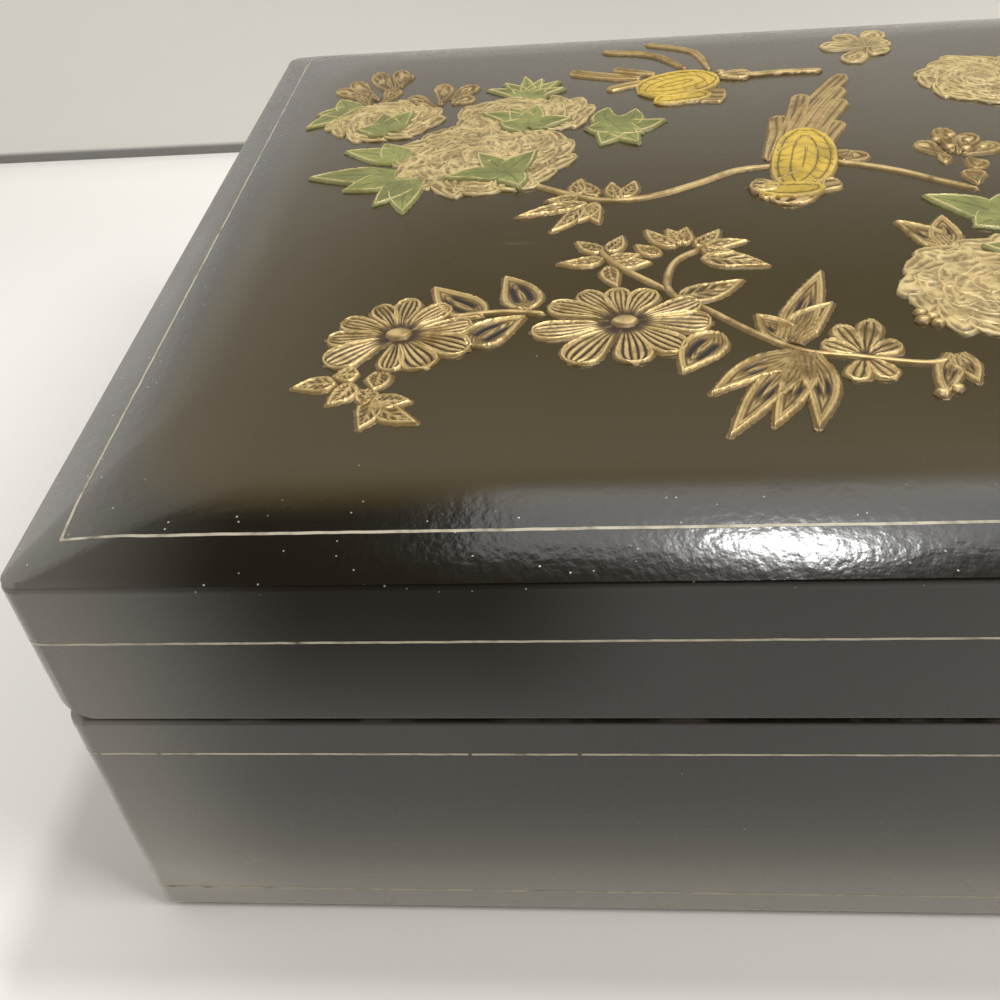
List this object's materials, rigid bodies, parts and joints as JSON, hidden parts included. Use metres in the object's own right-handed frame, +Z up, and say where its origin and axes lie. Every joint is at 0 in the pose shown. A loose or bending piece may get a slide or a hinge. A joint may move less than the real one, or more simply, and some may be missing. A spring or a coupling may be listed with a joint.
{
  "type": "lacquered drawer box",
  "caption": "Black lacquered tabletop jewellery box with a pillow-edged hinged lid, mirror, lined tray and a concealed full-width drawer held by a brass pin",
  "frame": {"origin": "middle of the underside of the whole box, closed", "axes": "+X along the width to the right, +Y from the front face to the back, +Z up"},
  "size_m": [0.305, 0.224, 0.0983],
  "materials": {
    "black_lacquer": "glossy black lacquer, lightly scratched",
    "stained_wood": "brown stain, satin",
    "velvet": "deep red velvet",
    "felt": "dark green felt",
    "mirror": "silvered glass",
    "brass": "polished brass, slightly tarnished",
    "gilt_relief": "antique gold on raised lacquer"
  },
  "bodies": {
    "base": {"felt_pad": "felt", "base_bottom": "stained_wood", "base_left_side": "black_lacquer", "base_right_side": "black_lacquer", "base_back": "black_lacquer", "inner_front_wall": "black_lacquer", "compartment_floor": "stained_wood", "drawer_runner_left": "stained_wood", "drawer_runner_right": "stained_wood", "drawer_stops": "stained_wood", "compartment_liner_left": "velvet", "compartment_liner_right": "velvet", "compartment_liner_back": "velvet", "compartment_liner_front": "velvet", "compartment_floor_lining": "velvet", "tray_divider_long": "velvet", "tray_divider_left": "velvet", "tray_divider_right": "velvet", "ring_rolls": "velvet", "pin_bush": "brass", "hinge_left_base_leaf": "brass", "hinge_right_base_leaf": "brass", "hinge_left_pin": "brass", "hinge_right_pin": "brass", "hinge_screws_base": "brass"},
    "lid": {"lid_top_panel": "black_lacquer", "lid_front_rail": "black_lacquer", "lid_back_rail": "black_lacquer", "lid_left_rail": "black_lacquer", "lid_right_rail": "black_lacquer", "lid_lining": "velvet", "mirror_glass": "mirror", "mirror_frame_front": "black_lacquer", "mirror_frame_back": "black_lacquer", "mirror_frame_left": "black_lacquer", "mirror_frame_right": "black_lacquer", "hinge_left_lid_leaf": "brass", "hinge_right_lid_leaf": "brass", "hinge_screws_lid": "brass", "lid_relief_flowers": "gilt_relief", "lid_relief_leaves": "gilt_relief", "lid_relief_birds": "gilt_relief", "lid_relief_stems": "gilt_relief"},
    "drawer": {"drawer_front": "black_lacquer", "drawer_left_side": "stained_wood", "drawer_right_side": "stained_wood", "drawer_back": "stained_wood", "drawer_bottom": "stained_wood", "drawer_lining": "velvet", "drawer_divider": "velvet"},
    "lock_pin": {"lock_pin": "brass", "lock_pin_knob": "brass"}
  },
  "joints": [
    {"name": "lid_hinge", "type": "hinge", "parent": "base", "child": "lid", "pos_m": [0, 0.1086, 0.06065], "axis": [-1, 0, 0], "range_deg": [0, 94]},
    {"name": "drawer_slide", "type": "slide", "parent": "base", "child": "drawer", "axis": [0, -1, 0], "range_m": [0, 0.146]},
    {"name": "lock_pin_slide", "type": "slide", "parent": "base", "child": "lock_pin", "axis": [0, 0, -1], "range_m": [0, 0.008]}
  ]
}
